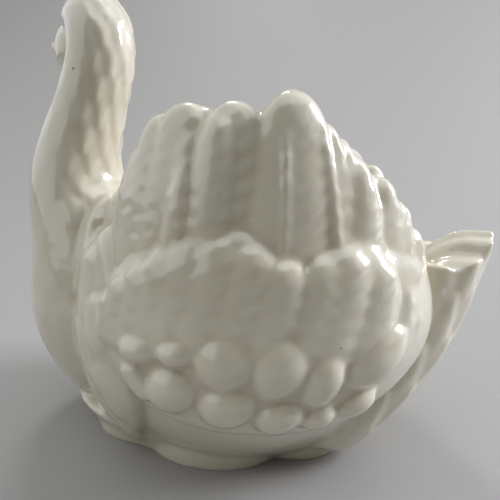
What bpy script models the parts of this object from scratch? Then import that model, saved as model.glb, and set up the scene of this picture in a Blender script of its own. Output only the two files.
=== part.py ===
# White porcelain swan planter, cast as one piece: an open bowl between two raised wings.
# The swan faces -X, its tail points to +X, and it stands on its flat foot at z = 0.
# The sizes and tables below are millimetres, and MM turns them into metres in each mesh.
import bmesh
import bpy
import numpy as np

MM = 0.001

# Casting: its wall and floor, the smallest detail it keeps, and how finely it is meshed
WALL = 5.0
FLOOR = 7.0
CASTING_GRAIN = 1.2
SMOOTHING_ROUNDS = 3
MOST_TRIANGLES = 11700

# Foot: its sides stand upright up to a share of its width, then round over
FOOT_HALF_LENGTH = 53.0
FOOT_HALF_WIDTH = 33.0
FOOT_CENTRE = -10.0
FOOT_HEIGHT = 14.0
FOOT_FLARE = 0.18
FOOT_FLAT_SHARE = 0.67
BELLY_LEVEL = 2.0

# How far the wing's lower pad, its round scales and its long feathers' tips stand out from the hull
PAD_SWELL = 6.4
SCALE_SWELL = 9.4
TIP_LEAN = 2.0

# How far the edges of scales, second-layer feathers and leaf feathers lie below their crests
SCALE_RELIEF = 3.8
COVERT_RELIEF = 1.7
LEAF_RELIEF = 1.8
PRIMARY_RELIEF = 1.0

# Rounding of a plate's or scale's section and spacing of a plate's points: the lower, the squarer its edge
PLATE_ROUNDING = 0.3
SCALE_ROUNDING = 1.2
UNDERSIDE_ROUNDING = 0.5
PLATE_SPREAD = 0.7

# A feather widens from its root over this share of its length, and rounds off by this power at its tip
ROOT_SHARE = 0.3
TIP_POWER = 6.0

# A leaf's half-width in its cell, the powers of its outline, and its relief at its root
LEAF_HALF_WIDTH = 0.56
LEAF_POINT = 2.4
LEAF_CURVE = 0.8
LEAF_ROOT = 0.15

# The swan's right wing sits further forward and lower than its left one
RIGHT_WING_FORWARD = 9.0
RIGHT_WING_SHARE = 0.84
WING_ROOT_HEIGHT = 80.0
WING_SHIFT_HEIGHT = 20.0

# Hull of the bowl by height: height, half-length, half-width, centre
HULL = [
    (0, 42, 32, 0),
    (12, 52, 42, 2),
    (30, 60, 51, 5),
    (52, 66, 55, 9),
    (75, 63.5, 53, 11),
    (100, 55, 49, 11),
    (125, 43.5, 45, 11),
    (150, 37, 42, 11),
]

# Rim of the bowl by turn: 0 degrees is the tail, 90 the side and 180 the neck
RIM = [
    (0, 76),
    (15, 80),
    (25, 94),
    (33, 103),
    (42, 111),
    (52, 117),
    (64, 126),
    (80, 127),
    (104, 127),
    (121, 119),
    (138, 108),
    (156, 97),
    (180, 92),
]

# Lower and rear edge of the wing's raised pad: turn, height
PAD_EDGE = [
    (131, 70),
    (129, 58),
    (124, 49),
    (117, 40),
    (106, 33),
    (92, 29.5),
    (78, 28.5),
    (64, 27.5),
    (52, 29),
    (41, 33),
    (31, 38),
    (24, 48),
    (21, 62),
    (24, 78),
    (40, 90),
    (60, 92),
    (76, 92),
    (100, 92),
    (120, 84),
]

# Fan of long feathers, which carries them up to their tips: turn, height
FAN_SWELL = 3.8
FAN_EDGE = [
    (131, 113),
    (126, 122.5),
    (119, 127.5),
    (112, 130.5),
    (104, 130.5),
    (98, 129),
    (92, 130.5),
    (86, 130.8),
    (80, 128),
    (76, 129),
    (70, 132),
    (65, 133.5),
    (60, 131),
    (55, 126),
    (50, 121),
    (45, 116),
    (40, 111.5),
    (36, 107.5),
    (32, 103.5),
    (28, 98),
    (25, 92),
    (22, 84),
    (24, 70),
    (40, 60),
    (76, 60),
    (110, 60),
    (128, 66),
    (133, 85),
    (133, 100),
]

# Second layer's front lobe, rear lobe and the small lobe behind them: turn, height
FRONT_LOBE_SWELL = 8.2
FRONT_LOBE_EDGE = [
    (125, 60),
    (126, 68),
    (122.5, 77),
    (116, 85),
    (109, 90.5),
    (102, 94),
    (95, 95.8),
    (88, 96.6),
    (81, 96),
    (76, 92.6),
    (72, 91.5),
    (69.2, 87.5),
    (68.5, 80),
    (69, 68),
    (76, 58),
    (90, 56),
    (108, 56),
    (118, 54),
]
REAR_LOBE_SWELL = 8.0
REAR_LOBE_EDGE = [
    (67.6, 85),
    (63, 91),
    (58, 95),
    (53, 96.4),
    (48.5, 94),
    (45, 89),
    (42.5, 82.5),
    (42, 76),
    (44, 70),
    (48, 60),
    (58, 55),
    (67, 58),
    (68.5, 72),
]
SMALL_LOBE_SWELL = 5.6
SMALL_LOBE_EDGE = [
    (44, 86),
    (39, 83.5),
    (36, 80),
    (33, 75.5),
    (30.5, 70),
    (28.4, 64),
    (31, 56),
    (38, 50),
    (46, 60),
    (47, 74),
]

# Band between the breast and the wing: turn, height
BAND_SWELL = 5.4
BAND_EDGE = [
    (134, 92),
    (143, 88),
    (152, 70),
    (156, 48),
    (154, 26),
    (146, 8),
    (132, 6),
    (120, 14),
    (116, 26),
    (120, 44),
    (124, 62),
    (128, 80),
]

# Long upright feathers: root turn, root height, tip turn, tip height, half-width, swell, bluntness
PRIMARIES = [
    (131, 66, 125, 124, 8, 3.2, 6),
    (119, 70, 117, 130, 8, 3.8, 6),
    (110, 72, 108, 131.8, 9.5, 4.4, 8),
    (107, 72, 104, 127.5, 7, 5.8, 6),
    (102, 72, 101, 116, 6.6, 7, 4),
    (94, 72, 90, 128.5, 7, 7.8, 9),
    (89, 74, 87, 132.3, 9, 5, 8),
    (86, 72, 78, 129, 6.5, 4.2, 6),
    (73, 70, 66, 135, 13, 7.4, 4.5),
    (66, 74, 61.5, 131, 4.2, 8.8, 5),
    (60, 72, 57, 131.5, 5, 7.2, 5),
    (57, 72, 51.5, 125.5, 5.6, 5.8, 4),
    (52, 66, 45.5, 118, 7.4, 6.8, 3),
    (40, 64, 34, 113, 7, 4, 4),
    (42, 62, 35.5, 108, 5.6, 6, 3.4),
    (33, 58, 27.5, 99.5, 6, 4.6, 3.4),
    (27, 56, 23, 90, 6, 3.6, 3.4),
]

# Second layer's own feathers, in the same columns
COVERTS = [
    (121.5, 60, 120.5, 75, 4.8, 8.0, 4),
    (115.5, 60, 114, 82.5, 4.8, 8.8, 4),
    (109, 60, 107.5, 88.5, 5, 9.0, 4),
    (102.5, 60, 101, 92, 5.4, 9.2, 4),
    (95.5, 60, 93.5, 94, 6, 9.5, 4),
    (88, 60, 85.5, 94.6, 6.2, 9.5, 4),
    (81, 60, 78.5, 93.4, 5.6, 9.4, 4),
    (74.5, 60, 72, 89.6, 5.4, 9.2, 4),
    (67.5, 60, 66, 85, 3.6, 8.8, 4),
    (61.5, 58, 60, 92.5, 6.2, 9.3, 4),
    (53, 58, 51.5, 94, 6.6, 9.5, 4),
    (45, 56, 45.5, 85.5, 4.4, 8.6, 4),
    (37, 54, 38.5, 82, 5, 7.2, 4),
    (31, 50, 32.5, 73, 4.4, 6.8, 4),
]

# Leaf feathers low on the wing's front and on the band in front of it, in the same columns
LEAVES = [
    (116.5, 54, 106, 39, 3.8, 8.4, 4),
    (163, 98, 150, 60, 12, 6.8, 4),
    (148, 88, 138, 54, 10, 6.6, 4),
    (166, 70, 152, 30, 12, 7.6, 4),
    (150, 64, 134, 32, 10, 6.8, 4),
    (136, 74, 127, 46, 8, 6.6, 4),
    (158, 40, 140, 8, 11, 6.8, 4),
    (138, 48, 121, 20, 8, 6.6, 4),
    (145, 28, 124, 4, 8, 6.2, 4),
]

# Round scales low on the wing: turn, height, half-width, half-height, lean in degrees
SCALES = [
    (112.3, 56.5, 5.4, 4.3, 0),
    (101.5, 58.7, 4.1, 3.4, 0),
    (87.6, 57.9, 6.7, 9.1, 0),
    (74.4, 56.5, 6.2, 10.1, 0),
    (63.2, 51.6, 5.0, 9.2, 0),
    (48.5, 56.5, 6.4, 10.2, -40),
    (100.5, 45, 6.1, 8.1, 0),
    (85.4, 41.6, 6.5, 7.8, 0),
    (71.4, 38, 5.8, 6.4, 0),
    (60.8, 37.3, 4.4, 4.8, 0),
    (50.9, 40, 6.2, 4.6, 31),
]

# Scalloped belly under the wings: centre x, centre y, half-length, half-width, half-height
BELLY = [
    (-33, 14, 22, 16, 24),
    (-3, 21, 27, 18, 22),
    (27, 12, 19, 15, 22),
    (38, 0, 15, 13, 20),
]

# Breast and neck, up over its arch: x, y, z, radius
NECK = [
    (-42.5, 0, -6, 15),
    (-46.5, 0, 12, 29.5),
    (-50.5, 0, 34, 35.3),
    (-52, 0, 56, 36),
    (-57, 0, 78, 28),
    (-65.5, 0, 97, 19.3),
    (-61.5, 0, 114, 15.5),
    (-54.5, 0, 131, 13.2),
    (-49.5, 0, 145, 12.6),
    (-50, 2, 156, 12.4),
    (-56, 8, 161.5, 11.5),
    (-64, 15, 159, 11),
    (-67.5, 18.5, 152, 10),
]

# The breast is narrower than it is deep up to a height, and the neck is round above another
BREAST_FLATNESS = 0.86
FLAT_BELOW = 60.0
ROUND_ABOVE = 100.0

# Head and beak: centre, half-sizes, both turned with the head
HEAD_TURN = 135.0
HEAD_CENTRE = (-68, 19, 150)
HEAD_HALF_SIZE = (13.5, 10.5, 13)
BEAK = [
    (-70, 20, 149, 8),
    (-72, 22, 146, 7.5),
    (-75, 25, 139, 5.5),
    (-77, 27, 131, 3.8),
    (-77.5, 27.5, 128.5, 3),
]

# Tail, an upturned cup that sweeps up from the foot: height, reach from its middle, half-width
TAIL_MIDDLE = 42.0
TAIL_INSIDE = 22.0
TAIL_SQUARENESS = 2.7
TAIL_SHELL = [
    (0, 8, 24),
    (12, 21, 28),
    (26, 32, 29),
    (40, 41, 27),
    (60, 48.5, 23),
    (76, 52.5, 18.5),
    (90, 55.5, 15),
]

# The tail's rim by turn, the tips along it, the cup inside it and the leaf feathers on its outside
TAIL_RIM = [(0, 85), (14, 82.5), (32, 76.5), (50, 75.5), (68, 80), (84, 86), (110, 80), (180, 70)]
TAIL_TIP = 1.6
TAIL_TIPS_END = 90.0
TAIL_RIB = 0.5
TAIL_CUP_DEPTH = 15.0
TAIL_LEAF_TURN = 17.0
TAIL_LEAF_LENGTH = 17.0
TAIL_LEAF_RELIEF = 1.6


def clear_scene():
    for thing in list(bpy.data.objects):
        bpy.data.objects.remove(thing, do_unlink=True)


def along(rows, where, column):
    """Smooth curve through one column of rows, whose first column rises."""
    table = np.array(rows, float)
    knots, values = table[:, 0], table[:, column]
    slopes = np.gradient(values, knots)
    where = np.clip(where, knots[0], knots[-1])
    first = np.clip(np.searchsorted(knots, where) - 1, 0, len(knots) - 2)
    span = knots[first + 1] - knots[first]
    t = (where - knots[first]) / span
    return (
        (2 * t**3 - 3 * t**2 + 1) * values[first]
        + (t**3 - 2 * t**2 + t) * span * slopes[first]
        + (3 * t**2 - 2 * t**3) * values[first + 1]
        + (t**3 - t**2) * span * slopes[first + 1]
    )


def on_hull(turn, height, out, side=-1):
    """Points of the hull, moved out from it; side -1 is the swan's left and 1 its right."""
    angle = np.radians(turn)
    half_length = along(HULL, height, 1) + out
    half_width = along(HULL, height, 2) + out
    centre = along(HULL, height, 3)
    x = centre + half_length * np.cos(angle)
    y = side * half_width * np.sin(angle)
    return np.stack([x, y, height + 0 * turn], axis=-1)


def leaf_pattern(across, down):
    """Overlapping leaf feathers: 0 between them, rising to 1 near each leaf's lower tip."""
    relief = np.zeros_like(down)
    for above in (0, 1):
        row = np.floor(down) - above
        share = (down - row) / 2
        sideways = (across + 0.5 * (row % 2)) % 1 - 0.5
        half = LEAF_HALF_WIDTH * np.clip(1 - share**LEAF_POINT, 0, 1) ** LEAF_CURVE + 0.001
        dome = np.sqrt(np.clip(1 - (sideways / half) ** 2, 0, 1))
        relief = np.maximum(relief, dome * (LEAF_ROOT + (1 - LEAF_ROOT) * share))
    return relief


def on_right_wing(turn, height):
    """Where a point of the left wing lies on the right one."""
    raised = np.maximum(height - WING_ROOT_HEIGHT, 0)
    shifted = np.minimum(raised / WING_SHIFT_HEIGHT, 1)
    forward = RIGHT_WING_FORWARD * np.sin(np.radians(turn)) * shifted
    return turn + forward, height - raised * (1 - RIGHT_WING_SHARE)


def add_object(name, mesh):
    made = bpy.data.objects.new(name, mesh)
    bpy.context.scene.collection.objects.link(made)
    return made


def formed_sphere(name, place, segments=28, rings=18):
    """A sphere whose unit points are put elsewhere by place(across, out, along)."""
    mesh = bpy.data.meshes.new(name)
    shell = bmesh.new()
    bmesh.ops.create_uvsphere(shell, u_segments=segments, v_segments=rings, radius=1)
    points = np.array([vert.co for vert in shell.verts])
    for vert, point in zip(shell.verts, place(points[:, 0], points[:, 1], points[:, 2]) * MM):
        vert.co = point
    if shell.calc_volume(signed=True) < 0:
        bmesh.ops.reverse_faces(shell, faces=shell.faces)
    shell.to_mesh(mesh)
    shell.free()
    return add_object(name, mesh)


def pot(name, inset, floor, rim_lift):
    """The bowl's hull as a closed form: a fifth of its rings are bottom, a fifth are lid."""
    cap = 0.2

    def place(across, out, height):
        turn = np.degrees(np.arctan2(out, across))
        share = np.degrees(np.arccos(np.clip(-height, -1, 1))) / 180
        wall_share = np.clip((share - cap) / (1 - 2 * cap), 0, 1)
        forward = np.where(turn < 0, RIGHT_WING_FORWARD * np.sin(np.radians(-turn)), 0)
        left_top = along(RIM, np.abs(turn) - forward, 1)
        raised = np.maximum(left_top - WING_ROOT_HEIGHT, 0) * (1 - RIGHT_WING_SHARE)
        top = left_top - np.where(turn < 0, raised, 0) + rim_lift
        level = floor + (top - floor) * wall_share
        reach = np.clip(np.minimum(share, 1 - share) / cap, 0, 1)
        shell = on_hull(np.abs(turn), level, -inset)
        middle = along(HULL, level, 3)
        x = middle + (shell[:, 0] - middle) * reach
        y = np.sign(-turn) * np.abs(shell[:, 1]) * reach
        return np.stack([x, y, level], axis=-1)

    return formed_sphere(name, place, segments=120, rings=60)


def hull_degree(turn, height):
    """Millimetres along the hull for each degree of turn."""
    spot = on_hull(np.array(float(turn)), np.array(float(height)), 0)
    return np.hypot(spot[0] - along(HULL, height, 3), spot[1]) * np.radians(1)


def hull_feather(name, row, side, relief, lean=0.0):
    """A domed feather that lies on the hull, from its root to its rounded tip."""
    root_turn, root_height, tip_turn, tip_height, half_width, swell, bluntness = row
    if side > 0:
        root_turn, root_height = on_right_wing(root_turn, root_height)
        tip_turn, tip_height = on_right_wing(tip_turn, tip_height)
    degree = hull_degree((root_turn + tip_turn) / 2, (root_height + tip_height) / 2)
    spine = np.array([(tip_turn - root_turn) * degree, tip_height - root_height])
    spine /= np.linalg.norm(spine)

    def place(across, out, along_spine):
        share = (along_spine + 1) / 2
        ring = np.sqrt(np.clip(1 - along_spine**2, 1e-9, 1))
        start = np.sqrt(np.clip(share / ROOT_SHARE, 0, 1))
        taper = np.sqrt(np.clip(1 - share**bluntness, 0, 1))
        offset = half_width * start * taper * across / ring
        crown = out / ring
        above = swell - relief * (1 - crown**2)
        tip = np.sqrt(np.clip(1 - share**TIP_POWER, 0, 1))
        level = np.where(out > 0, above, crown * WALL) * start * tip
        turn = root_turn + (tip_turn - root_turn) * share + offset * spine[1] / degree
        height = root_height + (tip_height - root_height) * share - offset * spine[0]
        return on_hull(turn, height, level + lean * share**2, side)

    return formed_sphere(name, place)


def round_scale(name, row, side):
    turn, height, half_width, half_height, lean = row
    tilt = np.radians(lean)
    degree = hull_degree(turn, height)

    def place(across, up, out):
        wide = half_width * across
        high = half_height * up
        along_turn = wide * np.cos(tilt) + high * np.sin(tilt)
        along_height = high * np.cos(tilt) - wide * np.sin(tilt)
        crest = SCALE_SWELL - SCALE_RELIEF * (1 - np.abs(out) ** SCALE_ROUNDING)
        level = np.where(out > 0, crest, -WALL * np.abs(out))
        return on_hull(turn + along_turn / degree, height + along_height, level, side)

    return formed_sphere(name, place)


def hull_plate(name, edge_rows, swell, side):
    """A raised plate on the hull with a rounded edge all round."""
    middle = np.mean(np.array(edge_rows, float), axis=0)
    edge = np.array(edge_rows, float) - middle
    bearing = np.degrees(np.arctan2(edge[:, 1], edge[:, 0]))
    reach = np.hypot(edge[:, 0], edge[:, 1])
    order = np.argsort(bearing)

    def place(across, up, out):
        direction = np.degrees(np.arctan2(up, across))
        far = np.interp(direction, bearing[order], reach[order], period=360)
        share = np.hypot(across, up) ** PLATE_SPREAD
        turn = middle[0] + far * share * np.cos(np.radians(direction))
        height = middle[1] + far * share * np.sin(np.radians(direction))
        if side > 0:
            turn, height = on_right_wing(turn, height)
        top = swell * np.abs(out) ** PLATE_ROUNDING
        level = np.where(out > 0, top, -WALL * np.abs(out) ** UNDERSIDE_ROUNDING)
        return on_hull(turn, height, level, side)

    return formed_sphere(name, place, segments=80, rings=32)


def ellipsoid(name, centre, half_size, turn=0.0):
    angle = np.radians(turn)

    def place(across, out, up):
        x, y, z = half_size[0] * across, half_size[1] * out, half_size[2] * up
        turned = [x * np.cos(angle) - y * np.sin(angle), x * np.sin(angle) + y * np.cos(angle), z]
        return np.stack(turned, axis=-1) + centre

    return formed_sphere(name, place, segments=36, rings=24)


def foot(name):
    """The flat base that the bowl, the breast and the belly feathers stand on."""

    def place(across, out, up):
        level = np.where(up < 0, -WALL, FOOT_HEIGHT * up)
        spread = 1 + FOOT_FLARE * np.clip(up, 0, 1)
        ring = np.hypot(across, out) + 1e-9
        reach = np.clip(ring / FOOT_FLAT_SHARE, 0, 1) / ring
        x = FOOT_CENTRE + FOOT_HALF_LENGTH * across * reach * spread
        y = FOOT_HALF_WIDTH * out * reach * spread
        return np.stack([x, y, level], axis=-1)

    return formed_sphere(name, place, segments=64, rings=24)


def tail(name):
    """The upturned cup behind the wings, with leaf feathers outside and ribs inside."""
    lid = 0.3
    bottom = 0.08

    def place(across, out, height):
        turn = np.degrees(np.arctan2(out, across))
        share = np.degrees(np.arccos(np.clip(-height, -1, 1))) / 180
        wall_share = np.clip(share / (1 - lid), 0, 1)
        lid_share = np.clip((1 - share) / lid, 0, 1)
        tips = np.abs(np.cos(np.radians(turn * 180 / TAIL_LEAF_TURN)))
        outer = np.clip(3 * (1 - np.abs(turn) / TAIL_TIPS_END), 0, 1)
        top = along(TAIL_RIM, np.abs(turn), 1) + TAIL_TIP * tips * outer
        level = -WALL + (top + WALL) * wall_share
        leaf = leaf_pattern(turn / TAIL_LEAF_TURN, level / TAIL_LEAF_LENGTH)
        relief = TAIL_LEAF_RELIEF * (leaf - 0.6) * np.clip(wall_share * 4, 0, 1)
        ahead, aside = np.cos(np.radians(turn)), np.sin(np.radians(turn))
        power = TAIL_SQUARENESS
        inward = np.where(share > 1 - lid, lid_share, np.clip(share / bottom, 0, 1))
        inward = inward / (np.abs(ahead) ** power + np.abs(aside) ** power) ** (1 / power)
        length = np.where(across > 0, along(TAIL_SHELL, level, 1) + relief, TAIL_INSIDE)
        x = TAIL_MIDDLE + length * ahead * inward
        y = (along(TAIL_SHELL, level, 2) + relief) * aside * inward
        dip = np.clip((0.85 - lid_share) / 0.6, 0, 1)
        level = level - TAIL_CUP_DEPTH * np.where(share > 1 - lid, dip**2 * (3 - 2 * dip), 0)
        level = level + TAIL_RIB * tips * np.clip(lid_share * 2 - 0.4, 0, 1)
        return np.stack([x, y, level], axis=-1)

    return formed_sphere(name, place, segments=140, rings=90)


def tube(name, points):
    """A round bar through the points, each x, y, z and radius, made a mesh."""
    curve = bpy.data.curves.new(name, "CURVE")
    curve.dimensions = "3D"
    curve.bevel_depth = MM
    curve.bevel_resolution = 8
    curve.use_fill_caps = True
    line = curve.splines.new("NURBS")
    line.points.add(len(points) - 1)
    line.order_u = 4
    line.resolution_u = 8
    line.use_endpoint_u = True
    for point, (x, y, z, radius) in zip(line.points, points):
        point.co = (x * MM, y * MM, z * MM, 1)
        point.radius = radius
    guide = add_object(name + "_guide", curve)
    bpy.context.view_layer.update()
    evaluated = guide.evaluated_get(bpy.context.evaluated_depsgraph_get())
    mesh = bpy.data.meshes.new_from_object(evaluated)
    shell = bmesh.new()
    shell.from_mesh(mesh)
    bmesh.ops.remove_doubles(shell, verts=shell.verts, dist=0.00001)
    bmesh.ops.recalc_face_normals(shell, faces=shell.faces)
    shell.to_mesh(mesh)
    shell.free()
    made = add_object(name, mesh)
    made.matrix_world = guide.matrix_world
    bpy.data.objects.remove(guide, do_unlink=True)
    return made


def breast_and_neck(name):
    made = tube(name, NECK)
    for vert in made.data.vertices:
        share = (vert.co.z / MM - FLAT_BELOW) / (ROUND_ABOVE - FLAT_BELOW)
        roundness = min(max(share, 0), 1)
        vert.co.y *= BREAST_FLATNESS + (1 - BREAST_FLATNESS) * roundness
    return made


def wing(side):
    """One wing, the swan's left (-1) or right (1): its plates, then the feathers on them."""
    forms = [
        hull_plate("wing_pad", PAD_EDGE, PAD_SWELL, side),
        hull_plate("fan", FAN_EDGE, FAN_SWELL, side),
        hull_plate("front_lobe", FRONT_LOBE_EDGE, FRONT_LOBE_SWELL, side),
        hull_plate("rear_lobe", REAR_LOBE_EDGE, REAR_LOBE_SWELL, side),
        hull_plate("small_lobe", SMALL_LOBE_EDGE, SMALL_LOBE_SWELL, side),
        hull_plate("band", BAND_EDGE, BAND_SWELL, side),
    ]
    for row in PRIMARIES:
        relief = max(row[5] - FAN_SWELL, PRIMARY_RELIEF)
        forms.append(hull_feather("primary", row, side, relief, TIP_LEAN))
    forms += [hull_feather("covert", row, side, COVERT_RELIEF) for row in COVERTS]
    forms += [hull_feather("leaf", row, side, LEAF_RELIEF) for row in LEAVES]
    forms += [round_scale("scale", row, side) for row in SCALES]
    return forms


def belly(side):
    forms = []
    for x, y, half_length, half_width, half_height in BELLY:
        centre = (x, side * y, BELLY_LEVEL)
        forms.append(ellipsoid("belly_feather", centre, (half_length, half_width, half_height)))
    return forms


def head_and_beak():
    return [ellipsoid("head", HEAD_CENTRE, HEAD_HALF_SIZE, HEAD_TURN), tube("beak", BEAK)]


def select_only(thing):
    bpy.ops.object.select_all(action="DESELECT")
    thing.select_set(True)
    bpy.context.view_layer.objects.active = thing


def apply_modifier(thing, kind, **settings):
    select_only(thing)
    modifier = thing.modifiers.new(kind.title(), kind)
    for name, value in settings.items():
        setattr(modifier, name, value)
    bpy.ops.object.modifier_apply(modifier=modifier.name)


def joined(forms):
    bpy.ops.object.select_all(action="DESELECT")
    for form in forms:
        form.select_set(True)
    bpy.context.view_layer.objects.active = forms[0]
    bpy.ops.object.join()
    return forms[0]


def cut_flat_foot(thing):
    shell = bmesh.new()
    shell.from_mesh(thing.data)
    everything = shell.verts[:] + shell.edges[:] + shell.faces[:]
    cut = bmesh.ops.bisect_plane(
        shell, geom=everything, dist=0.00001, plane_co=(0, 0, 0), plane_no=(0, 0, 1), clear_inner=True
    )
    rim = [item for item in cut["geom_cut"] if isinstance(item, bmesh.types.BMEdge)]
    bmesh.ops.holes_fill(shell, edges=rim, sides=0)
    bmesh.ops.triangulate(shell, faces=shell.faces)
    bmesh.ops.recalc_face_normals(shell, faces=shell.faces)
    shell.to_mesh(thing.data)
    shell.free()


def glazed_porcelain():
    made = bpy.data.materials.new("glazed_porcelain")
    made.use_nodes = True
    surface = made.node_tree.nodes["Principled BSDF"]
    surface.inputs["Base Color"].default_value = (0.78, 0.77, 0.74, 1)
    surface.inputs["Roughness"].default_value = 0.12
    surface.inputs["Metallic"].default_value = 0
    return made


def build_swan():
    forms = [pot("swan", inset=0, floor=0, rim_lift=0), foot("foot")]
    for side in (-1, 1):
        forms += wing(side) + belly(side)
    forms += [tail("tail"), breast_and_neck("neck")] + head_and_beak()
    swan = joined(forms)
    swan.name = "swan"
    apply_modifier(swan, "REMESH", mode="VOXEL", voxel_size=CASTING_GRAIN * MM)
    hollow = pot("hollow", inset=WALL, floor=FLOOR, rim_lift=NECK[-1][2])
    apply_modifier(swan, "BOOLEAN", operation="DIFFERENCE", object=hollow, solver="EXACT")
    bpy.data.objects.remove(hollow, do_unlink=True)
    apply_modifier(swan, "REMESH", mode="VOXEL", voxel_size=CASTING_GRAIN * MM)
    apply_modifier(swan, "SMOOTH", factor=0.5, iterations=round(SMOOTHING_ROUNDS))
    triangles = 2 * len(swan.data.polygons)
    apply_modifier(swan, "DECIMATE", ratio=MOST_TRIANGLES / triangles, use_collapse_triangulate=True)
    cut_flat_foot(swan)
    return swan


def main():
    clear_scene()
    group = bpy.data.collections.new("swan_planter")
    bpy.context.scene.collection.children.link(group)
    swan = build_swan()
    swan.data.materials.clear()
    swan.data.materials.append(glazed_porcelain())
    swan.data.shade_smooth()
    bpy.context.scene.collection.objects.unlink(swan)
    group.objects.link(swan)


main()
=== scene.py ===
# A white porcelain swan planter on a pale table.
# The swan faces -X, its tail points to +X, and it stands on z = 0.
# Numbers in the dictionaries are millimetres and degrees unless a note says otherwise.
from math import radians

import bpy
import numpy as np
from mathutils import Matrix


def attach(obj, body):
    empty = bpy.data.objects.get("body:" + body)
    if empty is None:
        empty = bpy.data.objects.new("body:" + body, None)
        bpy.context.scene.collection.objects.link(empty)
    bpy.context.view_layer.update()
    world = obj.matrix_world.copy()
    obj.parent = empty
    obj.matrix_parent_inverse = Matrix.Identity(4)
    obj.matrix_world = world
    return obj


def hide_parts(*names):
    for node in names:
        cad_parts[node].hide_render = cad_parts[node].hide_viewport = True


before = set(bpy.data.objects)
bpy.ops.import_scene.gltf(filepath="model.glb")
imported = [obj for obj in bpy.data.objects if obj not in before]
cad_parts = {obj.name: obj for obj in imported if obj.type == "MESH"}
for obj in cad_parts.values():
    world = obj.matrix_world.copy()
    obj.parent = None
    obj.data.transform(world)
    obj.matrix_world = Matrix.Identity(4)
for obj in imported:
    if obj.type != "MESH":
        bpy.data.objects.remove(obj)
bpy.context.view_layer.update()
print("frame loaded")

mm = 0.001

# The photograph's camera: about 200 mm away, turned 12 degrees to the tail and 17 degrees down
camera = {"place": (0.0484, -0.1921, 0.134), "yaw": 12.0, "pitch": 17.0, "lens": 37.44, "sensor": 36.0}

# One casting: wall, floor and how fine its mesh is
casting = {
    "wall": 5.0,
    "floor": 7.0,
    "roughVoxel": 0.9,
    "fineVoxel": 0.8,
    "smoothing": 7,
    "smoothFactor": 0.5,
    "mostTriangles": 190000,
}

# Hull of the bowl by height: height, half length, half width, centre
hull = [
    (0, 42, 32, 0),
    (12, 52, 42, 2),
    (30, 60, 51, 5),
    (52, 66, 55, 9),
    (75, 63.5, 53, 11),
    (100, 55, 49, 11),
    (125, 43.5, 45, 11),
    (150, 37, 42, 11),
]

# Rim of the bowl by turn: 0 degrees is the tail, 90 the side and 180 the neck
rim = [
    (0, 76),
    (15, 80),
    (25, 94),
    (33, 103),
    (42, 111),
    (52, 117),
    (64, 126),
    (80, 127),
    (104, 127),
    (121, 119),
    (138, 108),
    (156, 97),
    (180, 92),
]


def along(rows, where, column):
    # smooth curve through one column of rows, whose first column rises
    table = np.array(rows, float)
    knots, values = table[:, 0], table[:, column]
    slopes = np.gradient(values, knots)
    where = np.clip(where, knots[0], knots[-1])
    first = np.clip(np.searchsorted(knots, where) - 1, 0, len(knots) - 2)
    span = knots[first + 1] - knots[first]
    t = (where - knots[first]) / span
    return (
        (2 * t**3 - 3 * t**2 + 1) * values[first]
        + (t**3 - 2 * t**2 + t) * span * slopes[first]
        + (3 * t**2 - 2 * t**3) * values[first + 1]
        + (t**3 - t**2) * span * slopes[first + 1]
    )


def onHull(turn, height, out, side=-1):
    # side -1 is the swan's left, which the photograph shows, and 1 its right
    angle = np.radians(turn)
    x = along(hull, height, 3) + (along(hull, height, 1) + out) * np.cos(angle)
    y = side * (along(hull, height, 2) + out) * np.sin(angle)
    return np.stack([x, y, height + 0 * turn], axis=-1)


def hullDegree(turn, height):
    # millimetres along the hull for each degree of turn
    spot = onHull(np.array(float(turn)), np.array(float(height)), 0)
    return np.hypot(spot[0] - along(hull, height, 3), spot[1]) * np.radians(1)


def deselectAll():
    bpy.ops.object.select_all(action="DESELECT")


def selectOnly(thing):
    deselectAll()
    thing.select_set(True)
    bpy.context.view_layer.objects.active = thing


def applyModifier(thing, kind, **settings):
    selectOnly(thing)
    modifier = thing.modifiers.new(kind.title(), kind)
    for key, value in settings.items():
        setattr(modifier, key, value)
    bpy.ops.object.modifier_apply(modifier=modifier.name)


def joinAll(things, name):
    deselectAll()
    for thing in things:
        thing.select_set(True)
    bpy.context.view_layer.objects.active = things[0]
    bpy.ops.object.join()
    things[0].name = name
    return things[0]


def getPoints(thing):
    points = np.empty(len(thing.data.vertices) * 3)
    thing.data.vertices.foreach_get("co", points)
    return points.reshape(-1, 3)


def formedSphere(name, place, segments=32, rings=20):
    # a sphere pulled to shape: place(x, y, z) gives each unit point its spot in millimetres
    deselectAll()
    bpy.ops.mesh.primitive_uv_sphere_add(segments=segments, ring_count=rings, radius=1)
    form = bpy.context.object
    form.name = name
    points = place(*getPoints(form).T) * mm
    form.data.vertices.foreach_set("co", points.ravel())
    form.data.calc_loop_triangles()
    corners = np.empty(len(form.data.loop_triangles) * 3, int)
    form.data.loop_triangles.foreach_get("vertices", corners)
    a, b, c = points[corners.reshape(-1, 3)].transpose(1, 0, 2)
    if np.einsum("ij,ij->", a, np.cross(b, c)) < 0:
        form.data.flip_normals()
    return form


def ellipsoid(name, centre, halfSize, turn=0.0, segments=48, rings=32):
    angle = np.radians(turn)

    def place(x, y, z):
        x, y, z = halfSize[0] * x, halfSize[1] * y, halfSize[2] * z
        turned = [x * np.cos(angle) - y * np.sin(angle), x * np.sin(angle) + y * np.cos(angle), z]
        return np.stack(turned, axis=-1) + centre

    return formedSphere(name, place, segments, rings)


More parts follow.
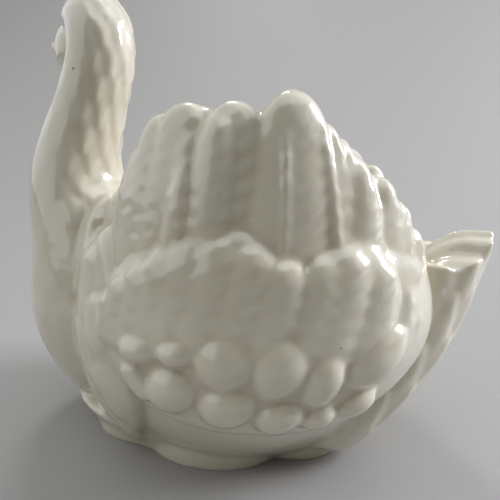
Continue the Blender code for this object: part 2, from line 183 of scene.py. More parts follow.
def smoothCurve(rows, share):
    # cubic curve that the rows of points pull towards themselves, share 0 to 1
    rows = np.array(rows, float)
    knots = np.concatenate([np.zeros(3), np.linspace(0, 1, len(rows) - 2), np.ones(3)])
    t = np.clip(share, 0, 1 - 1e-9)[:, None]
    basis = ((knots[:-1] <= t) & (t < knots[1:])).astype(float)
    for order in (1, 2, 3):
        left = knots[order:-1] - knots[: -order - 1]
        right = knots[order + 1 :] - knots[1:-order]
        rise = np.where(left > 0, (t - knots[: -order - 1]) / np.where(left > 0, left, 1), 0)
        fall = np.where(right > 0, (knots[order + 1 :] - t) / np.where(right > 0, right, 1), 0)
        basis = rise * basis[:, :-1] + fall * basis[:, 1:]
    return basis @ rows


def leafPattern(across, down):
    # overlapping leaf feathers: 0 between them, rising to 1 near each leaf's lower tip
    relief = np.zeros_like(down)
    for above in (0, 1):
        row = np.floor(down) - above
        share = (down - row) / 2
        sideways = (across + 0.5 * (row % 2)) % 1 - 0.5
        half = 0.56 * np.clip(1 - share**2.4, 0, 1) ** 0.8 + 0.001
        dome = np.clip(1 - (sideways / half) ** 2, 0, 1) ** 0.5
        relief = np.maximum(relief, dome * (0.15 + 0.85 * share))
    return relief


rightWing = {"forward": 9.0, "share": 0.84, "rootHeight": 80.0, "shiftHeight": 20.0}


def onRightWing(turn, height):
    # the right wing sits further forward and lower than the left one
    raised = np.maximum(height - rightWing["rootHeight"], 0)
    shifted = np.minimum(raised / rightWing["shiftHeight"], 1)
    forward = rightWing["forward"] * np.sin(np.radians(turn)) * shifted
    return turn + forward, height - raised * (1 - rightWing["share"])


def pot(name, inset, floor, rimLift):
    cap = 0.2

    def place(x, y, z):
        turn = np.degrees(np.arctan2(y, x))
        share = np.degrees(np.arccos(np.clip(-z, -1, 1))) / 180
        wallShare = np.clip((share - cap) / (1 - 2 * cap), 0, 1)
        forward = np.where(turn < 0, rightWing["forward"] * np.sin(np.radians(-turn)), 0)
        leftTop = along(rim, np.abs(turn) - forward, 1)
        raised = np.maximum(leftTop - rightWing["rootHeight"], 0) * (1 - rightWing["share"])
        top = leftTop - np.where(turn < 0, raised, 0) + rimLift
        level = floor + (top - floor) * wallShare
        reach = np.clip(np.minimum(share, 1 - share) / cap, 0, 1)
        shell = onHull(np.abs(turn), level, -inset)
        middle = along(hull, level, 3)
        spotX = middle + (shell[:, 0] - middle) * reach
        spotY = np.sign(-turn) * np.abs(shell[:, 1]) * reach
        return np.stack([spotX, spotY, level], axis=-1)

    return formedSphere(name, place, segments=140, rings=72)


# Wings: the lengths are along the hull, and swell is how far a form stands out from it
wing = {
    "padSwell": 6.4,
    "padEdge": [
        (131, 70),
        (129, 58),
        (124, 49),
        (117, 40),
        (106, 33),
        (92, 29.5),
        (78, 28.5),
        (64, 27.5),
        (52, 29),
        (41, 33),
        (31, 38),
        (24, 48),
        (21, 62),
        (24, 78),
        (40, 90),
        (60, 92),
        (76, 92),
        (100, 92),
        (120, 84),
    ],
    # plates with a broad rounded shoulder, outlined by turn and height: the fan of long feathers,
    # the second layer's two lobes, the small one behind them, and the band in front of the wing
    "plates": [
        (
            3.8,
            [
                (131, 113),
                (126, 122.5),
                (119, 127.5),
                (112, 130.5),
                (104, 130.5),
                (98, 129),
                (92, 130.5),
                (86, 130.8),
                (80, 128),
                (76, 129),
                (70, 132),
                (65, 133.5),
                (60, 131),
                (55, 126),
                (50, 121),
                (45, 116),
                (40, 111.5),
                (36, 107.5),
                (32, 103.5),
                (28, 98),
                (25, 92),
                (22, 84),
                (24, 70),
                (40, 60),
                (76, 60),
                (110, 60),
                (128, 66),
                (133, 85),
                (133, 100),
            ],
        ),
        (
            8.1,
            [
                (124, 60),
                (123.2, 67.5),
                (121, 74),
                (117.4, 80),
                (111.7, 85.4),
                (105.3, 90.4),
                (99.8, 94.2),
                (92, 97),
                (86.5, 96.6),
                (80, 94.8),
                (76.3, 91.2),
                (72.5, 90.6),
                (69.2, 87.8),
                (67.9, 81.7),
                (69, 68),
                (76, 58),
                (90, 56),
                (108, 56),
                (118, 54),
            ],
        ),
        (
            7.9,
            [
                (67.2, 88),
                (61.5, 91.2),
                (54.8, 93.3),
                (48.6, 91.5),
                (44.5, 85.6),
                (42.4, 80),
                (41.8, 75),
                (44, 70),
                (48, 60),
                (58, 55),
                (67, 58),
                (68.5, 72),
            ],
        ),
        (
            5.6,
            [
                (44, 86),
                (39, 83.5),
                (36, 80),
                (33, 75.5),
                (30.5, 70),
                (28.4, 64),
                (31, 56),
                (38, 50),
                (46, 60),
                (47, 74),
            ],
        ),
        (
            5.4,
            [
                (134, 92),
                (143, 88),
                (152, 70),
                (156, 48),
                (154, 26),
                (146, 8),
                (132, 6),
                (120, 14),
                (116, 26),
                (120, 44),
                (124, 62),
                (128, 80),
            ],
        ),
    ],
    # long upright feathers: root turn, root height, tip turn, tip height, half width, swell, bluntness
    "primaries": [
        (131, 50, 127, 120, 7, 3.2, 8),
        (123, 50, 119.5, 127.6, 7.6, 4.2, 14),
        (114, 50, 106, 131.2, 9.4, 5.4, 18),
        (108, 52, 101.6, 126, 6, 6.2, 8),
        (106, 52, 101.6, 116, 5.8, 7.6, 4),
        (98, 50, 86, 131.6, 9, 5.6, 20),
        (100, 50, 90.8, 129.2, 7, 8.4, 14),
        (81, 50, 64.4, 134.6, 13.4, 7.4, 8),
        (78, 56, 70.5, 128, 2, 8.3, 3),
        (61, 56, 57.5, 129, 2.2, 7.2, 4),
        (60, 56, 53, 125.5, 3.4, 5.8, 5),
        (61, 50, 48.6, 121.5, 4, 5.2, 4),
        (57, 50, 45.4, 116.5, 8, 6.2, 3),
        (46, 50, 35, 109.5, 5.8, 4.6, 4),
        (40, 50, 30.5, 102, 5.6, 4, 4),
        (33, 48, 24.5, 92, 5.6, 3.4, 4),
    ],
    # second layer's own feathers, which make its furrows
    "coverts": [
        (125.5, 50, 123.5, 72.5, 5, 8.6, 6),
        (123, 48, 118, 79.8, 5.8, 9.1, 6),
        (119, 46, 111.3, 85, 6.4, 9.4, 6),
        (114, 44, 104.8, 90, 6.8, 9.6, 6),
        (109, 44, 97, 94.2, 7.2, 9.8, 6),
        (101, 44, 89, 96, 7.6, 10, 6),
        (93, 44, 80.4, 94.2, 7.4, 10, 6),
        (84, 44, 72.8, 90, 6.6, 9.9, 6),
        (74, 42, 62.4, 90.6, 6.8, 9.6, 6),
        (67, 42, 55.6, 92.8, 7.2, 9.9, 6),
        (57, 44, 46.8, 87.6, 7, 9.7, 6),
        (41, 44, 38.2, 78, 5, 7.4, 4),
        (37, 44, 33.4, 69, 4.4, 6.8, 4),
    ],
    "plateSpread": 0.7,
    "plateRounding": 0.3,
    "domeRounding": 1.3,
    "rootShare": 0.3,  # the part of a feather's length over which its root widens
    "tipPower": 20,
    # barbs: slanting waves, fuller on a feather's rear half
    "barbSpacing": 6.0,
    "barbSlant": 0.9,
    "frontBarbs": 0.35,
    # long feathers lean out at the tip, and both kinds rise by a share of their swell to the tip
    "longLean": 2.0,
    "longRise": 0.42,
    "longBarbs": 0.5,
    "coverRise": 0.3,
    "coverBarbs": 0.5,
    # how far a feather's edges lie below its crest: long feathers at least, second layer, leaves
    "longRelief": 1.4,
    "longStep": 0.6,
    "coverRelief": 2.4,
    "leafRelief": 1.8,
    # round scales: turn, height, half width, half height, lean
    "scaleSwell": 10.3,
    "scaleRelief": 3.6,
    "scaleRounding": 1.2,
    "scales": [
        (110.8, 57.5, 5.6, 4.6, 0),
        (100, 58.9, 4.6, 4.0, 0),
        (87.6, 57.9, 6.7, 9.1, 0),
        (74.4, 56.5, 6.2, 10.1, 0),
        (63.2, 51.6, 5.0, 9.2, 0),
        (48.5, 56.5, 7.2, 11, -40),
        (100.5, 45, 6.1, 8.1, 0),
        (85.4, 41.6, 6.5, 7.8, 0),
        (71.4, 38, 5.8, 6.4, 0),
        (60.8, 37.3, 4.4, 4.8, 0),
        (50.9, 40, 6.2, 4.6, 31),
    ],
    # leaf feathers low on the wing's front and on the band between breast and wing
    "leaves": [
        (116.5, 54, 106, 39, 3.8, 8.4, 4),
        (163, 98, 150, 60, 12, 6.8, 4),
        (148, 88, 138, 54, 10, 6.6, 4),
        (166, 70, 152, 30, 12, 7.6, 4),
        (150, 64, 134, 32, 10, 6.8, 4),
        (136, 74, 127, 46, 8, 6.6, 4),
        (158, 40, 140, 8, 11, 6.8, 4),
        (138, 48, 121, 20, 8, 6.6, 4),
        (145, 28, 124, 4, 8, 6.2, 4),
    ],
}


def hullPlate(name, edgeRows, swell, side):
    # a raised plate on the hull with a rounded edge all round
    middle = np.mean(np.array(edgeRows, float), axis=0)
    edge = np.array(edgeRows, float) - middle
    bearing = np.degrees(np.arctan2(edge[:, 1], edge[:, 0]))
    reach = np.hypot(edge[:, 0], edge[:, 1])
    order = np.argsort(bearing)

    def place(x, y, z):
        direction = np.degrees(np.arctan2(y, x))
        far = np.interp(direction, bearing[order], reach[order], period=360)
        share = np.hypot(x, y) ** wing["plateSpread"]
        turn = middle[0] + far * share * np.cos(np.radians(direction))
        height = middle[1] + far * share * np.sin(np.radians(direction))
        if side > 0:
            turn, height = onRightWing(turn, height)
        rounded = swell * np.abs(z) ** wing["plateRounding"]
        out = np.where(z > 0, rounded, -casting["wall"] * np.abs(z) ** 0.5)
        return onHull(turn, height, out, side)

    return formedSphere(name, place, segments=96, rings=40)


def hullFeather(name, row, side, relief, lean=0.0, barb=0.0, rise=0.0):
    # a domed feather on the hull, rising from its root to its rounded tip, with slanting barbs
    rootTurn, rootHeight, tipTurn, tipHeight, halfWidth, swell, bluntness = row
    if side > 0:
        rootTurn, rootHeight = onRightWing(rootTurn, rootHeight)
        tipTurn, tipHeight = onRightWing(tipTurn, tipHeight)
    degree = hullDegree((rootTurn + tipTurn) / 2, (rootHeight + tipHeight) / 2)
    spine = np.array([(tipTurn - rootTurn) * degree, tipHeight - rootHeight])
    length = np.linalg.norm(spine)
    spine /= length

    def place(x, y, z):
        share = (z + 1) / 2
        ring = np.sqrt(np.clip(1 - z**2, 1e-9, 1))
        start = np.clip(share / wing["rootShare"], 0, 1) ** 0.5
        taper = np.clip(1 - share**bluntness, 0, 1) ** 0.5
        offset = halfWidth * start * taper * x / ring
        edgeTaper = np.clip(1 - share ** wing["tipPower"], 0, 1) ** 0.5
        crown = y / ring
        wave = np.sin(2 * np.pi * (share * length + wing["barbSlant"] * offset) / wing["barbSpacing"])
        onRear = np.where(x < 0, 1, wing["frontBarbs"])
        ripple = barb * wave * onRear * np.sin(np.pi * np.abs(x / ring)) * np.clip(crown, 0, 1)
        dome = relief * (1 - np.abs(crown) ** wing["domeRounding"])
        above = swell * (1 - rise + rise * share) - dome + ripple
        out = np.where(y > 0, above, crown * casting["wall"]) * start * edgeTaper
        turn = rootTurn + (tipTurn - rootTurn) * share + offset * spine[1] / degree
        height = rootHeight + (tipHeight - rootHeight) * share - offset * spine[0]
        return onHull(turn, height, out + lean * share**2, side)

    # enough rings along it to carry the barbs
    return formedSphere(name, place, segments=48, rings=max(48, int(1.5 * length)))


def roundScale(name, row, side):
    turn, height, halfWidth, halfHeight, lean = row
    tilt = np.radians(lean)
    degree = hullDegree(turn, height)

    def place(x, y, z):
        wide, high = halfWidth * x, halfHeight * y
        alongTurn = wide * np.cos(tilt) + high * np.sin(tilt)
        alongHeight = high * np.cos(tilt) - wide * np.sin(tilt)
        above = wing["scaleSwell"] - wing["scaleRelief"] * (1 - np.abs(z) ** wing["scaleRounding"])
        out = np.where(z > 0, above, -casting["wall"] * np.abs(z))
        return onHull(turn + alongTurn / degree, height + alongHeight, out, side)

    return formedSphere(name, place)


def makeWing(side):
    forms = [hullPlate("wingPad", wing["padEdge"], wing["padSwell"], side)]
    forms += [hullPlate("wingPlate", edge, swell, side) for swell, edge in wing["plates"]]
    fan = wing["plates"][0][0]
    for row in wing["primaries"]:
        relief = max(row[5] - fan + wing["longStep"], wing["longRelief"])
        forms.append(
            hullFeather("primary", row, side, relief, wing["longLean"], wing["longBarbs"], wing["longRise"])
        )
    for row in wing["coverts"]:
        forms.append(
            hullFeather("covert", row, side, wing["coverRelief"], 0, wing["coverBarbs"], wing["coverRise"])
        )
    forms += [hullFeather("leaf", row, side, wing["leafRelief"]) for row in wing["leaves"]]
    forms += [roundScale("scale", row, side) for row in wing["scales"]]
    return forms


# Foot and the scalloped belly above it: centre x, centre y, half length, half width, half height
base = {
    "halfLength": 53.0,
    "halfWidth": 33.0,
    "centre": -10.0,
    "height": 14.0,
    "flare": 0.18,
    "flatShare": 1.5,
    "bellyLevel": 2.0,
    "belly": [
        (-33, 14, 22, 16, 24),
        (-3, 21, 27, 18, 22),
        (27, 12, 19, 15, 22),
        (38, 0, 15, 13, 20),
    ],
}


def makeBase():
    def place(x, y, z):
        level = np.where(z < 0, -casting["wall"], base["height"] * z)
        spread = 1 + base["flare"] * np.clip(z, 0, 1)
        ring = np.hypot(x, y) + 1e-9
        reach = np.clip(ring * base["flatShare"], 0, 1) / ring * spread
        spotX = base["centre"] + base["halfLength"] * x * reach
        return np.stack([spotX, base["halfWidth"] * y * reach, level], axis=-1)

    forms = [formedSphere("foot", place, segments=96, rings=32)]
    for x, y, halfLength, halfWidth, halfHeight in base["belly"]:
        for side in (-1, 1):
            centre = (x, side * y, base["bellyLevel"])
            forms.append(ellipsoid("belly", centre, (halfLength, halfWidth, halfHeight)))
    return forms


# Tail: an upturned cup that sweeps up from the foot, by height: reach from its middle, half width
tail = {
    "middle": 42.0,
    "inside": 22.0,
    "shell": [
        (0, 8, 24),
        (12, 21, 28),
        (26, 32, 29),
        (40, 41, 27),
        (60, 48.5, 23),
        (76, 52.5, 18.5),
        (90, 55.5, 15),
    ],
    "squareness": 2.7,
    "rim": [(0, 85), (14, 82.5), (32, 76.5), (50, 75.5), (68, 80), (84, 86), (110, 80), (180, 70)],
    "tipRise": 1.6,  # scallops of the rim, which fade towards the wings
    "tipsEnd": 90.0,
    "tipsFade": 30.0,
    "ribHeight": 0.5,
    "cupDepth": 15.0,
    "cupCap": 0.3,
    "leafTurn": 17.0,
    "leafLength": 17.0,
    "leafRelief": 1.6,
}


def makeTail():
    cap = tail["cupCap"]

    def place(x, y, z):
        turn = np.degrees(np.arctan2(y, x))
        share = np.degrees(np.arccos(np.clip(-z, -1, 1))) / 180
        wallShare = np.clip(share / (1 - cap), 0, 1)
        lidShare = np.clip((1 - share) / cap, 0, 1)
        tips = np.abs(np.cos(np.radians(turn * 180 / tail["leafTurn"])))
        fading = np.clip((tail["tipsEnd"] - np.abs(turn)) / tail["tipsFade"], 0, 1)
        top = along(tail["rim"], np.abs(turn), 1) + tail["tipRise"] * tips * fading
        level = -casting["wall"] + (top + casting["wall"]) * wallShare
        leaf = leafPattern(turn / tail["leafTurn"], level / tail["leafLength"])
        relief = tail["leafRelief"] * (leaf - 0.6) * np.clip(wallShare * 4, 0, 1)
        reach = along(tail["shell"], level, 1) + relief
        halfWidth = along(tail["shell"], level, 2) + relief
        inward = np.where(share > 1 - cap, lidShare, np.clip(share / 0.08, 0, 1))
        length = np.where(x > 0, reach, tail["inside"])
        ahead, aside = np.cos(np.radians(turn)), np.sin(np.radians(turn))
        power = tail["squareness"]
        inward = inward / (np.abs(ahead) ** power + np.abs(aside) ** power) ** (1 / power)
        spotX = tail["middle"] + length * ahead * inward
        spotY = halfWidth * aside * inward
        ribs = tail["ribHeight"] * tips * np.clip(lidShare * 2 - 0.4, 0, 1)
        dip = np.clip((0.85 - lidShare) / 0.6, 0, 1)
        level = level - tail["cupDepth"] * np.where(share > 1 - cap, dip**2 * (3 - 2 * dip), 0) + ribs
        return np.stack([spotX, spotY, level], axis=-1)

    return formedSphere("tail", place, segments=180, rings=120)


# Neck from the breast up over its arch: x, y, z, radius
neck = {
    "points": [
        (-42.5, 0, -6, 15),
        (-46.5, 0, 12, 29.5),
        (-50.5, 0, 34, 35.3),
        (-52, 0, 56, 36),
        (-57, 0, 78, 28),
        (-65.5, 0, 97, 19.3),
        (-61.5, 0, 114, 15.5),
        (-54.5, 0, 131, 13.2),
        (-49.5, 0, 145, 12.6),
        (-50, 2, 156, 12.4),
        (-56, 8, 161.5, 11.5),
        (-64, 15, 159, 11),
        (-67.5, 18.5, 152, 10),
    ],
    "flatness": 0.86,  # the breast's width over its depth
    "flatBelow": 60.0,
    "roundAbove": 100.0,
    "leaves": 12,
    "leafLength": 11.0,
    "leafRelief": 1.8,
    "leafAtFront": 0.25,  # share of that relief on the neck's front
    "leafFade": 0.4,
}


def makeNeck():
    length = np.linalg.norm(np.diff(np.array(neck["points"], float)[:, :3], axis=0), axis=1).sum()

    def place(x, y, z):
        share = np.degrees(np.arccos(np.clip(-z, -1, 1))) / 180
        rows = smoothCurve(neck["points"], share)
        ahead = smoothCurve(neck["points"], np.minimum(share + 0.001, 1))[:, :3]
        behind = smoothCurve(neck["points"], np.maximum(share - 0.001, 0))[:, :3]
        tangent = ahead - behind
        tangent /= np.linalg.norm(tangent, axis=1)[:, None]
        sideways = np.array([0.0, 1.0, 0.0]) - tangent[:, 1:2] * tangent
        sideways /= np.linalg.norm(sideways, axis=1)[:, None]
        forward = np.cross(sideways, tangent)
        ring = np.sqrt(np.clip(1 - z**2, 1e-9, 1))
        cap = np.clip(1 - np.abs(2 * share - 1) ** 12, 0, 1) ** 0.5
        around = np.arctan2(y, x) / (2 * np.pi) * neck["leaves"]
        relief = leafPattern(around, (1 - share) * length / neck["leafLength"])
        atRear = np.clip(neck["leafAtFront"] + (x / ring - 0.05) / neck["leafFade"], neck["leafAtFront"], 1)
        radius = (rows[:, 3] + neck["leafRelief"] * atRear * (relief - 0.5)) * cap
        rise = (rows[:, 2] - neck["flatBelow"]) / (neck["roundAbove"] - neck["flatBelow"])
        roundness = np.clip(rise, 0, 1)
        wide = radius * (neck["flatness"] + (1 - neck["flatness"]) * roundness)
        return rows[:, :3] + (radius * x / ring)[:, None] * forward + (wide * y / ring)[:, None] * sideways

    return formedSphere("neck", place, segments=140, rings=240)


# Head, turned to the swan's right, with its beak
head = {
    "turn": 135.0,
    "centre": (-68, 19, 150),
    "halfSize": (13.5, 10.5, 13),
    "beak": [
        (-70, 20, 149, 8),
        (-72, 22, 146, 7.5),
        (-75, 25, 139, 5.5),
        (-77, 27, 131, 3.8),
        (-77.5, 27.5, 128.5, 3),
    ],
    # the beak's two cross directions and how deep it is for its width
    "beakWide": (-0.707, -0.707, 0.0),
    "beakDeep": (-0.69, 0.69, -0.22),
    "beakFlatness": 0.85,
    "eyeRadius": 1.8,
    "eyeForward": 0.45,
    "eyeAside": 0.88,
    "eyeRise": 1.5,
}


def makeHead():
    def placeBeak(x, y, z):
        share = np.degrees(np.arccos(np.clip(-z, -1, 1))) / 180
        rows = smoothCurve(head["beak"], share)
        ring = np.sqrt(np.clip(1 - z**2, 1e-9, 1))
        cap = np.clip(1 - np.abs(2 * share - 1) ** 8, 0, 1) ** 0.5
        radius = (rows[:, 3] * cap / ring)[:, None]
        wide = x[:, None] * np.array(head["beakWide"])
        deep = y[:, None] * np.array(head["beakDeep"]) * head["beakFlatness"]
        return rows[:, :3] + radius * (wide + deep)

    forms = [
        ellipsoid("head", head["centre"], head["halfSize"], head["turn"]),
        formedSphere("beak", placeBeak, segments=40, rings=40),
    ]
    heading = radians(head["turn"])
    for side in (-1, 1):
        forward = head["eyeForward"] * head["halfSize"][0]
        aside = side * head["eyeAside"] * head["halfSize"][1]
        x = head["centre"][0] + forward * np.cos(heading) - aside * np.sin(heading)
        y = head["centre"][1] + forward * np.sin(heading) + aside * np.cos(heading)
        size = head["eyeRadius"]
        place = (x, y, head["centre"][2] + head["eyeRise"])
        forms.append(ellipsoid("eye", place, (size, size, size), 0, 24, 16))
    return forms


def cutFlat(thing):
    selectOnly(thing)
    bpy.ops.object.mode_set(mode="EDIT")
    bpy.ops.mesh.select_all(action="SELECT")
    bpy.ops.mesh.bisect(plane_co=(0, 0, 0), plane_no=(0, 0, 1), use_fill=True, clear_inner=True)
    bpy.ops.mesh.select_all(action="SELECT")
    bpy.ops.mesh.quads_convert_to_tris()
    bpy.ops.object.mode_set(mode="OBJECT")


def makeSwan():
    forms = [pot("swanGlazed", inset=0, floor=0, rimLift=0)] + makeBase()
    for side in (-1, 1):
        forms += makeWing(side)
    forms += [makeTail(), makeNeck()] + makeHead()
    print("forms made:", len(forms))
    swan = joinAll(forms, "swanGlazed")
    applyModifier(swan, "REMESH", mode="VOXEL", voxel_size=casting["roughVoxel"] * mm)
    hollow = pot("hollow", inset=casting["wall"], floor=casting["floor"], rimLift=neck["points"][-1][2])
    applyModifier(swan, "BOOLEAN", operation="DIFFERENCE", object=hollow, solver="MANIFOLD")
    bpy.data.objects.remove(hollow, do_unlink=True)
    applyModifier(swan, "REMESH", mode="VOXEL", voxel_size=casting["fineVoxel"] * mm)
    applyModifier(swan, "SMOOTH", factor=casting["smoothFactor"], iterations=casting["smoothing"])
    triangles = 2 * len(swan.data.polygons)
    print("triangles before thinning:", triangles)
    if triangles > casting["mostTriangles"]:
        kept = casting["mostTriangles"] / triangles
        applyModifier(swan, "DECIMATE", ratio=kept, use_collapse_triangulate=True)
    cutFlat(swan)
    selectOnly(swan)
    bpy.ops.object.shade_smooth()
    return swan


# Materials
def linear(hexColour):
    values = [int(hexColour[place : place + 2], 16) / 255 for place in (1, 3, 5)]
    return tuple(v / 12.92 if v <= 0.04045 else ((v + 0.055) / 1.055) ** 2.4 for v in values) + (1.0,)


def addNode(tree, kind, settings=None, links=None):
    # settings holds the node's own choices and its plain socket values, links its incoming sockets
    node = tree.nodes.new(kind)
    for key, value in (settings or {}).items():
        if isinstance(key, int) or key in node.inputs:
            node.inputs[key].default_value = value
        else:
            setattr(node, key, value)
    for key, source in (links or {}).items():
        tree.links.new(source, node.inputs[key])
    return node


def newMaterial(name):
    material = bpy.data.materials.new(name)
    material.use_nodes = True
    material.node_tree.nodes.clear()
    return material, material.node_tree


porcelain = {
    "glaze": "#e6dfcb",
    # colour of the painted shade in the furrows, which the random cloudy tone also leans to
    "paintedShade": "#d6ccb3",
    "speck": "#5a4a38",
    "specks": [(-54.7, -11.9, 141.7, 0.5), (46.2, -55.2, 63.2, 0.4)],  # x, y, z and radius
    "cloudSize": 22.0,
    "cloudTint": 0.35,
    "rippleSize": 9.0,
    "rippleDepth": 0.35,
    "peelSize": 1.6,
    "peelDepth": 0.015,
    "bodyRoughness": 0.3,
    "glazeRoughness": (0.02, 0.06),
    # how the painted shade is found: rounds of smoothing, and the depth below them that is fully shaded
    "shadeRounds": 12,
    "shadeDepth": 0.5,
}


def glazedPorcelain():
    # Slip-cast porcelain dipped in clear glaze: thick glaze rounds every edge and mirrors the room sharply,
    # with faint waves, two iron specks, and painted shade that greys it a little in the furrows.
    material, tree = newMaterial("glazedPorcelain")
    place = addNode(tree, "ShaderNodeTexCoord").outputs["Object"]
    sizes = [porcelain["cloudSize"], porcelain["rippleSize"], porcelain["peelSize"]]
    cloud, ripple, peel = [
        addNode(tree, "ShaderNodeTexNoise", {"Scale": 1 / (size * mm), "Detail": detail}, {"Vector": place})
        for size, detail in zip(sizes, (2.0, 1.0, 1.0))
    ]
    tint = addNode(
        tree,
        "ShaderNodeMapRange",
        {"From Min": 0.35, "From Max": 0.75, "To Min": 0.0, "To Max": porcelain["cloudTint"]},
        {"Value": cloud.outputs["Fac"]},
    )
    # painted shade: the furrows are mixed towards the greyer colour, added to the random clouds
    paintedShade = addNode(tree, "ShaderNodeAttribute", {"attribute_name": "paintedShade"})
    amount = addNode(
        tree,
        "ShaderNodeMath",
        {"operation": "ADD", "use_clamp": True},
        {0: paintedShade.outputs["Fac"], 1: tint.outputs[0]},
    )
    colour = addNode(
        tree,
        "ShaderNodeMix",
        {"data_type": "RGBA", 6: linear(porcelain["glaze"]), 7: linear(porcelain["paintedShade"])},
        {0: amount.outputs[0]},
    ).outputs[2]
    for x, y, z, radius in porcelain["specks"]:
        spot = (x * mm, y * mm, z * mm)
        away = addNode(tree, "ShaderNodeVectorMath", {"operation": "DISTANCE", 1: spot}, {0: place})
        near = addNode(
            tree,
            "ShaderNodeMapRange",
            {"From Min": radius * mm, "From Max": 1.5 * radius * mm, "To Min": 0.8, "To Max": 0.0},
            {"Value": away.outputs["Value"]},
        )
        colour = addNode(
            tree,
            "ShaderNodeMix",
            {"data_type": "RGBA", 7: linear(porcelain["speck"])},
            {0: near.outputs[0], 6: colour},
        ).outputs[2]
    waves = addNode(
        tree,
        "ShaderNodeBump",
        {"Strength": 1.0, "Distance": porcelain["rippleDepth"] * mm},
        {"Height": ripple.outputs["Fac"]},
    )
    skin = addNode(
        tree,
        "ShaderNodeBump",
        {"Strength": 1.0, "Distance": porcelain["peelDepth"] * mm},
        {"Height": peel.outputs["Fac"], "Normal": waves.outputs[0]},
    )
    smoothest, roughest = porcelain["glazeRoughness"]
    gloss = addNode(
        tree,
        "ShaderNodeMapRange",
        {"From Min": 0.3, "From Max": 0.7, "To Min": smoothest, "To Max": roughest},
        {"Value": cloud.outputs["Fac"]},
    )
    surface = addNode(
        tree,
        "ShaderNodeBsdfPrincipled",
        {
            "IOR": 1.52,
            "Roughness": porcelain["bodyRoughness"],
            "Subsurface Weight": 0.2,
            "Subsurface Radius": (1.0, 0.85, 0.65),
            "Subsurface Scale": 2.5 * mm,
            "Coat Weight": 1.0,
            "Coat IOR": 1.6,
        },
        {
            "Base Color": colour,
            "Normal": waves.outputs[0],
            "Coat Roughness": gloss.outputs[0],
            "Coat Normal": skin.outputs[0],
        },
    )
    addNode(tree, "ShaderNodeOutputMaterial", {}, {"Surface": surface.outputs[0]})
    return material


def markPaintedShade(thing):
    # painted shade for the furrows, from how deep each point lies below its smoothed neighbours: 1 in a
    # furrow, 0 elsewhere
    points = getPoints(thing)
    edges = np.empty(len(thing.data.edges) * 2, int)
    thing.data.edges.foreach_get("vertices", edges)
    first, second = edges.reshape(-1, 2).T
    count = np.bincount(edges, minlength=len(points))[:, None]
    soft = points.copy()
    for _ in range(porcelain["shadeRounds"]):
        total = np.zeros_like(soft)
        for axis in range(3):
            fromSecond = np.bincount(first, soft[second, axis], len(points))
            fromFirst = np.bincount(second, soft[first, axis], len(points))
            total[:, axis] = fromSecond + fromFirst
        soft = total / np.maximum(count, 1)
    normals = np.empty(len(points) * 3)
    thing.data.vertices.foreach_get("normal", normals)
    depth = np.einsum("ij,ij->i", soft - points, normals.reshape(-1, 3)) / mm
    amount = np.clip(depth / porcelain["shadeDepth"], 0, 1)
    attribute = thing.data.attributes.new("paintedShade", "FLOAT", "POINT")
    attribute.data.foreach_set("value", amount)


# Table, in metres from the swan
table = {
    "colour": "#a3a19e",
    "roughness": 0.55,
    "left": 1.4,
    "right": 0.8,
    "front": 0.3,
    "back": 1.5,
    "wall": 2.4,
    "curve": 1.25,
}


def makeTable():
    # a pale sheet that curves up behind the swan
    deselectAll()
    bpy.ops.mesh.primitive_plane_add(size=1)
    floor = bpy.context.object
    floor.name = "table"
    floor.dimensions = (table["left"] + table["right"], table["front"] + table["back"], 0)
    floor.location = ((table["right"] - table["left"]) / 2, (table["back"] - table["front"]) / 2, 0)
    bpy.ops.object.transform_apply(location=True, rotation=True, scale=True)
    bpy.ops.object.mode_set(mode="EDIT")
    bpy.ops.mesh.select_mode(type="VERT")
    bpy.ops.mesh.select_all(action="DESELECT")
    bpy.ops.object.mode_set(mode="OBJECT")
    for vertex in floor.data.vertices:
        vertex.select = vertex.co.y > 0
    bpy.ops.object.mode_set(mode="EDIT")
    bpy.ops.mesh.extrude_region_move(TRANSFORM_OT_translate={"value": (0, 0, table["wall"])})
    bpy.ops.object.mode_set(mode="OBJECT")
    applyModifier(floor, "BEVEL", width=table["curve"], segments=32, limit_method="ANGLE")
    bpy.ops.object.shade_smooth()
    material, tree = newMaterial("paintedTable")
    paint = {"Base Color": linear(table["colour"]), "Roughness": table["roughness"]}
    surface = addNode(tree, "ShaderNodeBsdfPrincipled", paint)
    addNode(tree, "ShaderNodeOutputMaterial", {}, {"Surface": surface.outputs[0]})
    floor.data.materials.append(material)


# Lamps: place and aim in metres, width, height, watts and colour
lamps = {
    "window": ((1.4, 0.5, 0.8), (0.0, 0.1, 0.05), 0.5, 0.8, 30.0, "#f2f5ff"),
    "sideWindow": ((1.2, -0.45, 0.5), (0.05, 0.0, 0.06), 0.22, 0.5, 0.25, "#eef4ff"),
    "skylight": ((-0.35, 0.9, 1.3), (-0.1, 0.5, 0.0), 0.35, 0.3, 5.0, "#ffffff"),
    "ceilingGlow": ((0.1, -0.55, 1.2), (0.0, -0.1, 0.0), 0.8, 0.6, 0.9, "#ffffff"),
}
# The room that the glaze mirrors, by turn from the camera's side and by height, in degrees:
# a daylit wall on the left, the dim side with the camera, a grey wall, then the window's wall
room = {
    "cameraSide": -73.0,
    "walls": [(-180, "#c9ccd0"), (-150, "#f1f3f4"), (-47, "#25221f"), (44, "#5d5954"), (100, "#d5dbe2")],
    "ceiling": "#eef3f8",
    "ceilingAbove": 50.0,
    "below": "#5a5753",
    "edge": 1.2,
    "foldScale": 4.0,
    "folds": 0.35,
    "strength": 1.0,
}


def bent(tree, angle, folds):
    # the walls' edges wander as cloth does
    return addNode(tree, "ShaderNodeMath", {"operation": "ADD"}, {0: angle, 1: folds}).outputs[0]


def stepTo(tree, colour, paint, value, start):
    # the paint takes over from the colour where the value passes start
    part = addNode(
        tree,
        "ShaderNodeMapRange",
        {"From Min": radians(start - room["edge"]), "From Max": radians(start + room["edge"])},
        {"Value": value},
    )
    mix = addNode(
        tree, "ShaderNodeMix", {"data_type": "RGBA", 7: linear(paint)}, {0: part.outputs[0], 6: colour}
    )
    return mix.outputs[2]


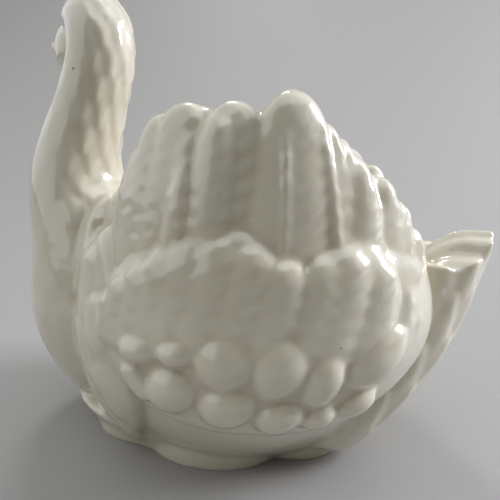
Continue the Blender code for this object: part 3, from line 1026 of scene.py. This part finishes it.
def makeRoom():
    world = bpy.data.worlds.new("room")
    bpy.context.scene.world = world
    world.use_nodes = True
    tree = world.node_tree
    background = tree.nodes["Background"]
    way = addNode(tree, "ShaderNodeTexCoord").outputs["Generated"]
    turned = addNode(
        tree,
        "ShaderNodeVectorRotate",
        {"rotation_type": "Z_AXIS", "Angle": radians(-room["cameraSide"])},
        {"Vector": way},
    )
    parts = addNode(tree, "ShaderNodeSeparateXYZ", {}, {0: turned.outputs[0]})
    turn = addNode(
        tree, "ShaderNodeMath", {"operation": "ARCTAN2"}, {0: parts.outputs["Y"], 1: parts.outputs["X"]}
    )
    rise = addNode(tree, "ShaderNodeMath", {"operation": "ARCSINE"}, {0: parts.outputs["Z"]})
    cloth = addNode(tree, "ShaderNodeTexNoise", {"Scale": room["foldScale"], "Detail": 4.0}, {"Vector": way})
    folds = addNode(
        tree,
        "ShaderNodeMath",
        {"operation": "MULTIPLY_ADD", 1: room["folds"], 2: -room["folds"] / 2},
        {0: cloth.outputs["Fac"]},
    ).outputs[0]
    bentTurn = bent(tree, turn.outputs[0], folds)
    bentRise = bent(tree, rise.outputs[0], folds)
    colour = addNode(tree, "ShaderNodeRGB").outputs[0]
    colour.default_value = linear(room["walls"][0][1])
    for start, paint in room["walls"][1:]:
        colour = stepTo(tree, colour, paint, bentTurn, start)
    colour = stepTo(tree, colour, room["ceiling"], bentRise, room["ceilingAbove"])
    lower = addNode(tree, "ShaderNodeMath", {"operation": "MULTIPLY", 1: -1.0}, {0: rise.outputs[0]})
    colour = stepTo(tree, colour, room["below"], lower.outputs[0], 1.0)
    tree.links.new(colour, background.inputs["Color"])
    background.inputs["Strength"].default_value = room["strength"]


def lightScene():
    for name, (place, aim, width, height, watts, colour) in lamps.items():
        deselectAll()
        bpy.ops.object.light_add(type="AREA", location=place)
        lamp = bpy.context.object
        lamp.name = name
        lamp.data.shape = "RECTANGLE"
        lamp.data.size = width
        lamp.data.size_y = height
        lamp.data.energy = watts
        lamp.data.color = linear(colour)[:3]
        direction = [a - b for a, b in zip(aim, place)]
        tilt = np.arctan2(np.hypot(direction[0], direction[1]), -direction[2])
        heading = np.arctan2(direction[1], direction[0]) - np.pi / 2
        lamp.rotation_euler = (tilt, 0, heading)


def addCamera():
    deselectAll()
    bpy.ops.object.camera_add(location=camera["place"])
    eye = bpy.context.object
    eye.rotation_euler = (radians(90 - camera["pitch"]), 0, radians(camera["yaw"]))
    eye.data.sensor_width = camera["sensor"]
    eye.data.lens = camera["lens"]
    eye.data.clip_start = 0.005
    bpy.context.scene.camera = eye
    bpy.context.scene.view_settings.view_transform = "Standard"


addCamera()
swan = makeSwan()
swan.data.materials.clear()
swan.data.materials.append(glazedPorcelain())
# paint shade into the furrows
markPaintedShade(swan)
print("swan made:", len(swan.data.polygons), "faces")
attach(swan, "root")
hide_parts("swan")
makeTable()
makeRoom()
lightScene()
print("table and lamps placed")
